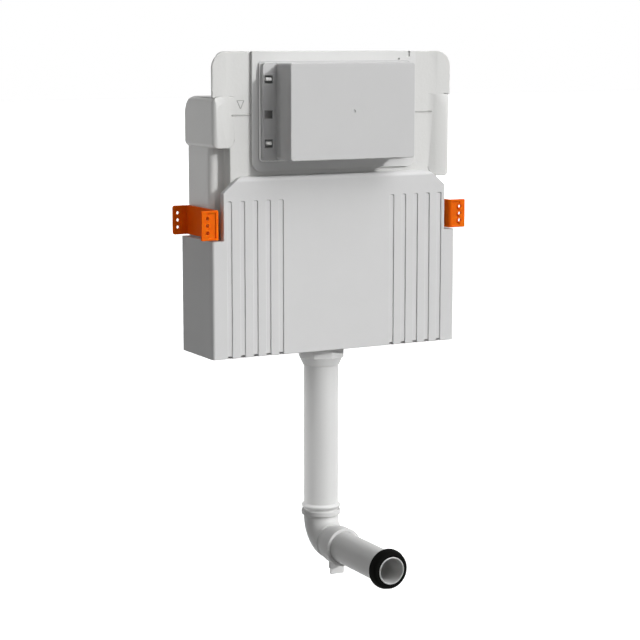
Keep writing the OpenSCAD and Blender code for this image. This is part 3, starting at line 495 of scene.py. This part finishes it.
@dataclass(frozen=True)
class Moulding:
    """One piece made from its node's solid, with the edges that a mould or a tool leaves on it.

    A point counts as thrown off the solid where it lies more than STRAY times the edge's size away.
    """

    node: str
    body: Body
    finish: Finish
    edge: float
    make: Make = Make.MOULDED
    segments: int = 3

    MERGE = 1e-6
    FLAT = math.radians(0.6)
    SMOOTH = math.radians(42)
    STRAY = 0.5

    def build(self) -> bpy.types.Object:
        """Rounds the edges of a copy of the node's solid, and puts the piece in the node's place.

        Returns:
            The finished piece.
        """
        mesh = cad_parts[self.node].data.copy()
        solid = BVHTree.FromPolygons([tuple(v.co) for v in mesh.vertices],
                                     [tuple(p.vertices) for p in mesh.polygons])
        self._weigh_edges(mesh)
        piece = add_object(f"{self.node}_{self.make.value}", mesh)
        rounding = piece.modifiers.new("rounded_edges", "BEVEL")
        rounding.limit_method = "WEIGHT"
        rounding.width = self.edge
        rounding.segments = self.segments
        rounding.use_clamp_overlap = False
        rounding.loop_slide = False
        rounding.miter_outer = "MITER_SHARP"
        settle(piece)
        self._tuck(piece.data, solid)
        piece.data.set_sharp_from_angle(angle=self.SMOOTH)
        levelled = piece.modifiers.new("even_normals", "WEIGHTED_NORMAL")
        levelled.keep_sharp = True
        settle(piece)
        dress(piece, self.finish, self.body)
        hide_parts(self.node)
        return piece

    def _tuck(self, mesh: bpy.types.Mesh, solid: BVHTree) -> None:
        """Brings points that a rounding has thrown off the solid back to its surface.

        Args:
            mesh: The rounded mesh.
            solid: The surface of the node's solid.
        """
        for vert in mesh.vertices:
            nearest, _, _, gap = solid.find_nearest(vert.co)
            if gap > self.STRAY * self.edge:
                vert.co = nearest

    def _weigh_edges(self, mesh: bpy.types.Mesh) -> None:
        """Merges the mesh's loose triangles into flat faces and marks how far each edge can be rounded.

        Args:
            mesh: A copy of the node's mesh.
        """
        mesh.materials.clear()
        shape = bmesh.new()
        shape.from_mesh(mesh)
        bmesh.ops.remove_doubles(shape, verts=shape.verts, dist=self.MERGE)
        bmesh.ops.dissolve_limit(shape, angle_limit=self.FLAT, verts=shape.verts, edges=shape.edges)
        weight = shape.edges.layers.float.new("bevel_weight_edge")
        for edge, width in EdgeRoom(shape).measure().items():
            edge[weight] = min(1.0, width / self.edge)
        shape.to_mesh(mesh)
        shape.free()
        mesh.shade_smooth()


def add_object(name: str, mesh: bpy.types.Mesh) -> bpy.types.Object:
    """Puts a mesh into the scene as an object at the origin.

    Args:
        name: The object's name.
        mesh: Its mesh.

    Returns:
        The object.
    """
    made = bpy.data.objects.new(name, mesh)
    mesh.name = name
    bpy.context.scene.collection.objects.link(made)
    return made


def settle(piece: bpy.types.Object) -> None:
    """Turns what a piece's modifiers make into its own plain mesh, and removes them.

    Args:
        piece: The object with the modifiers.
    """
    graph = bpy.context.evaluated_depsgraph_get()
    graph.update()
    mesh = bpy.data.meshes.new_from_object(piece.evaluated_get(graph), depsgraph=graph)
    old = piece.data
    piece.modifiers.clear()
    piece.data = mesh
    mesh.name = piece.name
    bpy.data.meshes.remove(old)


def dress(piece: bpy.types.Object, finish: Finish, body: Body) -> None:
    """Gives a piece its finish and the body that it rides on.

    Args:
        piece: The finished mesh's object.
        finish: Its finish.
        body: The body.
    """
    piece.data.materials.clear()
    piece.data.materials.append(finish.material())
    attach(piece, body.value)


@dataclass
class SurfaceLine:
    """Raised lines that follow the front of another piece, drawn as chains of points seen from the front."""

    name: str
    chains: list[list[tuple[float, float]]]
    carrier: bpy.types.Object
    width: float
    start_y: float
    step: float = 1.2 * MM
    sides: int = 8

    TREE = "line_on_surface"

    def build(self, finish: Finish, body: Body) -> bpy.types.Object:
        """Lays the lines on the carrier.

        Args:
            finish: The lines' finish.
            body: The body that they ride on.

        Returns:
            The lines as one piece.
        """
        points: list[Triple] = []
        edges: list[tuple[int, int]] = []
        for chain in self.chains:
            first = len(points)
            points += [(x, self.start_y, z) for x, z in chain]
            edges += [(first + i, first + i + 1) for i in range(len(chain) - 1)]
        mesh = bpy.data.meshes.new(self.name)
        mesh.from_pydata(points, edges, [])
        piece = add_object(self.name, mesh)
        run_tree(piece, self._tree(), {"Carrier": self.carrier, "Width": self.width, "Step": self.step,
                                       "Sides": self.sides, "Finish": finish.material()})
        dress(piece, finish, body)
        return piece

    @classmethod
    def _tree(cls) -> bpy.types.NodeTree:
        """Builds the tree that drops lines on to a surface and sweeps them.

        Returns:
            The tree, built once.
        """
        found = bpy.data.node_groups.get(cls.TREE)
        if found:
            return found
        make = NodeMaker(bpy.data.node_groups.new(cls.TREE, "GeometryNodeTree"))
        make.socket("Geometry", "Geometry")
        make.socket("Carrier", "Object")
        make.socket("Width", "Float")
        make.socket("Step", "Float")
        make.socket("Sides", "Int")
        make.socket("Finish", "Material")
        make.socket("Geometry", "Geometry", "OUTPUT")
        given = make.add("NodeGroupInput").outputs
        carrier = make.add("GeometryNodeObjectInfo", {"Object": given["Carrier"]}).outputs["Geometry"]
        chain = make.add("GeometryNodeMeshToCurve", {"Mesh": given["Geometry"]}).outputs[0]
        fine = make.add("GeometryNodeResampleCurve", {"Curve": chain, "Length": given["Step"]}, mode="LENGTH")
        hit = make.add("GeometryNodeRaycast", {"Target Geometry": carrier, "Ray Direction": (0.0, 1.0, 0.0)})
        laid = make.add("GeometryNodeSetPosition", {"Geometry": fine.outputs[0],
                                                    "Selection": hit.outputs["Is Hit"],
                                                    "Position": hit.outputs["Hit Position"]})
        radius = make.maths("MULTIPLY", given["Width"], 0.5)
        profile = make.add("GeometryNodeCurvePrimitiveCircle", {"Resolution": given["Sides"],
                                                                "Radius": radius})
        swept = make.add("GeometryNodeCurveToMesh", {"Curve": laid.outputs[0],
                                                     "Profile Curve": profile.outputs[0], "Fill Caps": True})
        finish_geometry(make, swept.outputs[0], given["Finish"])
        return make.tree


@dataclass
class Thread:
    """A pipe thread wound round an axis along X."""

    name: str
    radius: float
    pitch: float
    start: Vector
    length: float
    depth: float

    TREE = "pipe_thread"
    TURN_STEPS = 40
    RIDGE_SIDES = 6

    def build(self, finish: Finish, body: Body) -> bpy.types.Object:
        """Winds the thread.

        Args:
            finish: The thread's finish.
            body: The body that it rides on.

        Returns:
            The thread as one piece.
        """
        piece = add_object(self.name, bpy.data.meshes.new(self.name))
        turns = self.length / self.pitch
        run_tree(piece, self._tree(), {"Radius": self.radius, "Turns": turns, "Length": self.length,
                                       "Depth": self.depth, "Steps": self.TURN_STEPS, "Start": self.start,
                                       "Finish": finish.material()})
        dress(piece, finish, body)
        return piece

    @classmethod
    def _tree(cls) -> bpy.types.NodeTree:
        """Builds the tree that winds a ridge round an axis along X.

        Returns:
            The tree, built once.
        """
        found = bpy.data.node_groups.get(cls.TREE)
        if found:
            return found
        make = NodeMaker(bpy.data.node_groups.new(cls.TREE, "GeometryNodeTree"))
        make.socket("Geometry", "Geometry")
        for name in ("Radius", "Turns", "Length", "Depth"):
            make.socket(name, "Float")
        make.socket("Steps", "Int")
        make.socket("Start", "Vector")
        make.socket("Finish", "Material")
        make.socket("Geometry", "Geometry", "OUTPUT")
        given = make.add("NodeGroupInput").outputs
        spiral = make.add("GeometryNodeCurveSpiral", {
            "Resolution": given["Steps"], "Rotations": given["Turns"], "Start Radius": given["Radius"],
            "End Radius": given["Radius"], "Height": given["Length"]})
        ridge = make.add("GeometryNodeCurvePrimitiveCircle", {"Resolution": cls.RIDGE_SIDES,
                                                              "Radius": given["Depth"]})
        swept = make.add("GeometryNodeCurveToMesh", {"Curve": spiral.outputs[0],
                                                     "Profile Curve": ridge.outputs[0], "Fill Caps": True})
        placed = make.add("GeometryNodeTransform", {
            "Geometry": swept.outputs[0], "Translation": given["Start"], "Rotation": (0.0, math.pi / 2, 0.0)})
        finish_geometry(make, placed.outputs[0], given["Finish"])
        return make.tree


def finish_geometry(make: NodeMaker, made: bpy.types.NodeSocket, finish: bpy.types.NodeSocket) -> None:
    """Ends a geometry tree: real meshes, smooth faces and their material.

    Args:
        make: The tree's maker.
        made: The geometry so far.
        finish: The material that it gets.
    """
    real = make.add("GeometryNodeRealizeInstances", {"Geometry": made}).outputs[0]
    smooth = make.add("GeometryNodeSetShadeSmooth", {"Geometry": real}).outputs[0]
    painted = make.add("GeometryNodeSetMaterial", {"Geometry": smooth, "Material": finish}).outputs[0]
    make.add("NodeGroupOutput", {"Geometry": painted})


def run_tree(piece: bpy.types.Object, tree: bpy.types.NodeTree, values: dict) -> None:
    """Runs a geometry tree on a piece and keeps the result as the piece's plain mesh.

    Args:
        piece: The object that holds the tree's starting mesh.
        tree: The tree.
        values: The tree's named inputs.
    """
    modifier = piece.modifiers.new(tree.name, "NODES")
    modifier.node_group = tree
    for item in tree.interface.items_tree:
        if item.in_out == "INPUT" and item.name in values:
            modifier[item.identifier] = values[item.name]
    settle(piece)


@dataclass
class Shell:
    """Casing, tank, service plate with its latch tongues, and the protection box."""

    mark_low: float = 147.7 * MM
    mark_width: float = 2.2 * MM
    mark_outer: float = 159.0 * MM
    mark_end: float = 129.0 * MM
    sign_mid: float = -144.6 * MM
    sign_half: float = 5.3 * MM
    sign_low: float = 156.1 * MM
    sign_high: float = 167.9 * MM
    sign_width: float = 1.5 * MM
    bead_inset: float = 1.3 * MM
    bead_turn: float = 4.2 * MM
    bead_width: float = 1.8 * MM
    bead_step: int = 15
    pieces: tuple[Moulding, ...] = (
        Moulding("lower_casing", Body.CISTERN, CASING_GREY, 1.0 * MM),
        Moulding("tank", Body.CISTERN, TANK_NATURAL, 1.6 * MM, segments=4),
        Moulding("service_plate", Body.CISTERN, PLATE_NATURAL, 0.6 * MM),
        Moulding("latch_tongues", Body.CISTERN, TONGUE_WHITE, 0.4 * MM),
        Moulding("protection_box", Body.BOX, BOX_GREY, 1.4 * MM))

    def build(self) -> list[bpy.types.Object]:
        """Builds the mouldings, the tank's level marks and the bead on the box's brim."""
        made = {spec.node: spec.build() for spec in self.pieces}
        return [*made.values(), *self._marks(made["tank"]), self._bead(made["protection_box"])]

    def _bead(self, hood: bpy.types.Object) -> bpy.types.Object:
        """Runs the pale sealing bead down, along and up the brim of the protection box.

        Args:
            hood: The protection box.

        Returns:
            The bead.
        """
        low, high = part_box("protection_box")
        half = high.x - self.bead_inset
        top = high.z - self.bead_inset - self.bead_turn
        foot = low.z + self.bead_inset + self.bead_turn
        chain = [(-half, top)]
        for turn in map(math.radians, range(180, 361, self.bead_step)):
            side = math.copysign(half - self.bead_turn, math.cos(turn))
            chain.append((side + self.bead_turn * math.cos(turn), foot + self.bead_turn * math.sin(turn)))
        chain.append((half, top))
        bead = SurfaceLine("brim_bead", [chain], hood, self.bead_width, CAD_BOX[0].y)
        return bead.build(TONGUE_WHITE, Body.BOX)

    def _marks(self, tank: bpy.types.Object) -> list[bpy.types.Object]:
        """Lays the water-level line and its pointer on the tank's front.

        Args:
            tank: The tank.

        Returns:
            The line and the pointer.
        """
        lines = [[(side * self.mark_outer, self.mark_low), (side * self.mark_end, self.mark_low)]
                 for side in (-1, 1)]
        corners = [(-self.sign_half, self.sign_high), (self.sign_half, self.sign_high), (0.0, self.sign_low),
                   (-self.sign_half, self.sign_high)]
        pointer = [(self.sign_mid + x, z) for x, z in corners]
        marks = [SurfaceLine("level_line", lines, tank, self.mark_width, CAD_BOX[0].y),
                 SurfaceLine("level_pointer", [pointer], tank, self.sign_width, CAD_BOX[0].y)]
        # The marks' darker grey is painted shade of the raised lines
        return [mark.build(LEVEL_SHADE_GREY, Body.CISTERN) for mark in marks]


@dataclass
class Brackets:
    """The two side brackets."""

    pieces: tuple[Moulding, ...] = (
        Moulding("bracket_left", Body.CISTERN, BRACKET_ORANGE, 0.8 * MM),
        Moulding("bracket_right", Body.CISTERN, BRACKET_ORANGE, 0.8 * MM))

    def build(self) -> list[bpy.types.Object]:
        """Builds both brackets."""
        return [spec.build() for spec in self.pieces]


@dataclass
class FlushBend:
    """Outlet nut, flush pipe, bend, clip, outlet pipe and the rubber that seals them."""

    pieces: tuple[Moulding, ...] = (
        Moulding("outlet_nut", Body.CISTERN, NUT_NATURAL, 1.0 * MM),
        Moulding("pipe_washer", Body.CISTERN, SEAL_RUBBER, 0.3 * MM, Make.CUT),
        Moulding("flush_pipe", Body.CISTERN, PIPE_NATURAL, 0.8 * MM, Make.DRAWN),
        Moulding("flush_elbow", Body.BEND, FITTING_GREY, 1.0 * MM),
        Moulding("elbow_seal", Body.BEND, SEAL_RUBBER, 0.3 * MM, Make.CUT),
        Moulding("elbow_clip", Body.BEND, CLIP_GREY, 0.8 * MM),
        Moulding("outlet_pipe", Body.BEND, OUTLET_GREY, 0.6 * MM, Make.DRAWN),
        Moulding("pan_seal", Body.BEND, SEAL_RUBBER, 0.8 * MM))

    def build(self) -> list[bpy.types.Object]:
        """Builds the bend's pieces."""
        return [spec.build() for spec in self.pieces]


@dataclass
class FlushValve:
    """The outlet in the tank's floor, the valve on it and the levers that lift it."""

    edge: float = 0.5 * MM
    cistern_white: tuple[str, ...] = ("valve_base", "valve_cage", "lever_bracket")
    valve_white: tuple[str, ...] = ("overflow_tube", "lift_hook")
    half_white: tuple[str, ...] = ("half_flush_float", "half_flush_rod")

    def build(self) -> list[bpy.types.Object]:
        """Builds the valve, its rubber, its levers and their pin.

        Returns:
            The pieces.
        """
        white = [(self.cistern_white, Body.CISTERN), (self.valve_white, Body.VALVE),
                 (self.half_white, Body.HALF_VALVE)]
        specs = [Moulding(node, body, VALVE_WHITE, self.edge) for nodes, body in white for node in nodes]
        specs += [Moulding("base_gasket", Body.CISTERN, SEAL_RUBBER, self.edge, Make.CUT),
                  Moulding("valve_seal", Body.VALVE, VALVE_RED, self.edge, Make.CUT),
                  Moulding("full_flush_lever", Body.FULL_LEVER, LEVER_BLUE, self.edge),
                  Moulding("half_flush_lever", Body.HALF_LEVER, LEVER_BLUE, self.edge),
                  Moulding("lever_pin", Body.CISTERN, PIN_STEEL, self.edge, Make.TURNED)]
        return [spec.build() for spec in specs]


@dataclass
class FillValve:
    """The side-inlet fill valve with its nut, arm and float."""

    edge: float = 0.5 * MM
    pin_edge: float = 0.2 * MM
    float_edge: float = 0.8 * MM
    thread_pitch: float = 1.81 * MM
    thread_depth: float = 0.62 * MM
    thread_margin: float = 1.5 * MM
    thread_length: float = 14.0 * MM
    thread_radius: float = 9.95 * MM

    def build(self) -> list[bpy.types.Object]:
        """Builds the valve, and winds the thread on its inlet.

        Returns:
            The pieces.
        """
        specs = [Moulding("fill_valve", Body.CISTERN, VALVE_WHITE, self.edge),
                 Moulding("shank_gasket", Body.CISTERN, SEAL_RUBBER, self.edge, Make.CUT),
                 Moulding("shank_nut", Body.CISTERN, SHANK_BRASS, self.edge, Make.TURNED),
                 Moulding("arm_pin", Body.CISTERN, PIN_STEEL, self.pin_edge, Make.TURNED),
                 Moulding("float_arm", Body.ARM, LEVER_BLUE, self.edge),
                 Moulding("fill_float", Body.FLOAT, VALVE_WHITE, self.float_edge),
                 Moulding("float_rod", Body.FLOAT, PIN_STEEL, self.pin_edge, Make.TURNED)]
        return [*(spec.build() for spec in specs), self._thread()]

    def _thread(self) -> bpy.types.Object:
        """Winds the inlet's thread on the end of the shank.

        Returns:
            The thread.
        """
        nut_low, nut_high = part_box("shank_nut")
        axis = (nut_low + nut_high) / 2
        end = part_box("fill_valve")[1].x
        start = Vector((end - self.thread_margin - self.thread_length, axis.y, axis.z))
        thread = Thread("inlet_thread", self.thread_radius, self.thread_pitch, start, self.thread_length,
                        self.thread_depth)
        return thread.build(VALVE_WHITE, Body.CISTERN)


@dataclass(frozen=True)
class Lamp:
    """A far lamp that lights everything, or only the pieces of some finishes.

    The side is where the lamp hangs, seen from the cistern, and the angle is the lamp's width in degrees.
    Lamps for some finishes alone stand in for light that thin plastic walls pass on, or that pale
    surroundings throw into the shade under the casing and the bend.
    """

    name: str
    side: Triple
    strength: float
    angle: float
    finishes: tuple[Finish, ...] = ()
    tint: Triple = (1.0, 1.0, 1.0)

    def build(self, pieces: list[bpy.types.Object]) -> None:
        """Hangs the lamp.

        Args:
            pieces: The pieces that it can be tied to.
        """
        lamp = bpy.data.lights.new(self.name, "SUN")
        lamp.energy = self.strength
        lamp.angle = math.radians(self.angle)
        lamp.color = self.tint
        holder = bpy.data.objects.new(self.name, lamp)
        holder.location = self.side
        holder.rotation_euler = Vector(self.side).to_track_quat("Z", "Y").to_euler()
        bpy.context.scene.collection.objects.link(holder)
        if self.finishes:
            self._tie(holder, pieces)

    def _tie(self, holder: bpy.types.Object, pieces: list[bpy.types.Object]) -> None:
        """Lets the lamp light only the pieces that have one of its finishes.

        Args:
            holder: The lamp's object.
            pieces: The pieces to choose from.
        """
        taken = {finish.name for finish in self.finishes}
        lit = bpy.data.collections.new(f"{self.name}_pieces")
        for piece in pieces:
            if piece.data.materials[0].name in taken:
                lit.objects.link(piece)
        holder.light_linking.receiver_collection = lit


@dataclass
class Stage:
    """White surroundings: a pale floor at the height that the cistern stands above it, lamps and a sky."""

    outlet_axis: float = -469.5 * MM
    outlet_height: float = 420.0 * MM
    floor_size: float = 60.0
    floor_share: float = 0.62
    floor_colour: tuple[int, int, int] = (232, 232, 232)
    floor_bounce: tuple[int, int, int] = (140, 140, 140)
    sky_strength: float = 0.195
    sky_rise: float = 0.1
    lamps: tuple[Lamp, ...] = (
        Lamp("key_light", (0.487, -0.792, 0.370), 1.9, 4.0),
        Lamp("key_softener", (0.40, -0.55, 0.73), 1.5, 45.0),
        Lamp("tank_fill", (-0.85, -0.3, -0.45), 0.75, 110.0, (TANK_NATURAL, LEVEL_SHADE_GREY)),
        Lamp("pipe_fill", (-0.92, 0.36, -0.15), 3.4, 110.0, (PIPE_NATURAL,)),
        Lamp("nut_fill", (-0.85, -0.5, 0.1), 1.9, 60.0, (NUT_NATURAL,)),
        Lamp("clip_fill", (0.0, -1.0, 0.0), 1.9, 60.0, (CLIP_GREY,)),
        Lamp("latch_fill", (-0.65, -0.65, -0.4), 1.8, 90.0, (TONGUE_WHITE,)),
        Lamp("bracket_fill", (-0.95, -0.1, -0.2), 0.8, 110.0, (BRACKET_ORANGE,), (1.0, 0.08, 0.02)))

    def build(self, pieces: list[bpy.types.Object]) -> None:
        """Builds the floor, the lights and the sky.

        Args:
            pieces: The pieces that the lights fall on.
        """
        self._floor()
        self._sky()
        for lamp in self.lamps:
            lamp.build(pieces)

    @staticmethod
    def _seen(make: NodeMaker) -> bpy.types.NodeSocket:
        """Finds the rays that see white surroundings: camera, glossy and transmission rays.

        Args:
            make: The maker of the tree that asks.

        Returns:
            One for such a ray, and nought for any other.
        """
        path = make.add("ShaderNodeLightPath").outputs
        mirrored = make.maths("MAXIMUM", path["Is Glossy Ray"], path["Is Transmission Ray"])
        return make.maths("MAXIMUM", path["Is Camera Ray"], mirrored)

    def _floor(self) -> None:
        """Lays a floor that looks white, keeps shadows and throws little light back up."""
        half = self.floor_size / 2
        z = self.outlet_axis - self.outlet_height
        mesh = bpy.data.meshes.new("floor")
        mesh.from_pydata([(-half, -half, z), (half, -half, z), (half, half, z), (-half, half, z)], [],
                         [(0, 1, 2, 3)])
        floor = add_object("floor", mesh)
        paint = bpy.data.materials.new("floor_white")
        paint.use_nodes = True
        paint.node_tree.nodes.clear()
        make = NodeMaker(paint.node_tree)
        glow = make.add("ShaderNodeEmission", {"Strength": self.floor_share}).outputs[0]
        lit = make.add("ShaderNodeBsdfDiffuse", {"Color": linear(self.floor_colour)}).outputs[0]
        shown = make.add("ShaderNodeAddShader", {0: glow, 1: lit}).outputs[0]
        bounce = make.add("ShaderNodeBsdfDiffuse", {"Color": linear(self.floor_bounce)}).outputs[0]
        mixed = make.add("ShaderNodeMixShader", {0: self._seen(make), 1: bounce, 2: shown}).outputs[0]
        make.add("ShaderNodeOutputMaterial", {"Surface": mixed})
        mesh.materials.append(paint)

    def _sky(self) -> None:
        """Fills the world with soft light, a little stronger from above, and seen as plain white."""
        world = bpy.data.worlds.new("soft_sky")
        world.use_nodes = True
        world.node_tree.nodes.clear()
        make = NodeMaker(world.node_tree)
        way = make.add("ShaderNodeTexCoord").outputs["Generated"]
        height = make.add("ShaderNodeSeparateXYZ", {0: way}).outputs["Z"]
        strength = make.maths("MULTIPLY_ADD", height, self.sky_rise, self.sky_strength)
        soft = make.add("ShaderNodeBackground", {"Color": WHITE, "Strength": strength}).outputs[0]
        white = make.add("ShaderNodeBackground", {"Color": WHITE, "Strength": 1.0}).outputs[0]
        mixed = make.add("ShaderNodeMixShader", {0: self._seen(make), 1: soft, 2: white}).outputs[0]
        make.add("ShaderNodeOutputWorld", {"Surface": mixed})
        bpy.context.scene.world = world


@dataclass
class PhotoCamera:
    """The camera at the photograph's viewing angle."""

    lens: float = 104.56
    sensor: float = 36.0
    place: Triple = (-1251.11 * MM, -2380.06 * MM, 251.02 * MM)
    turn: float = 28.213
    tilt: float = 8.614

    def build(self) -> None:
        """Places the camera and makes it the scene's."""
        data = bpy.data.cameras.new("photo_camera")
        data.lens = self.lens
        data.sensor_width = self.sensor
        data.sensor_fit = "HORIZONTAL"
        camera = bpy.data.objects.new("photo_camera", data)
        camera.location = self.place
        camera.rotation_euler = (math.radians(90 - self.tilt), 0.0, math.radians(-self.turn))
        bpy.context.scene.collection.objects.link(camera)
        bpy.context.scene.camera = camera


def main() -> None:
    """Builds the camera, the stage and each sub-assembly, and reports every piece."""
    logging.basicConfig(level=logging.INFO, format="%(name)s: %(message)s")
    bpy.context.scene.view_settings.view_transform = "Standard"
    # Lamps for some finishes alone come out blotchy with the light tree
    bpy.context.scene.cycles.use_light_tree = False
    PhotoCamera().build()
    pieces = [piece for assembly in (Shell(), Brackets(), FlushBend(), FlushValve(), FillValve())
              for piece in assembly.build()]
    for piece in pieces:
        log.info("%s: %d faces", piece.name, len(piece.data.polygons))
    Stage().build(pieces)


if __name__ == "__main__":
    main()
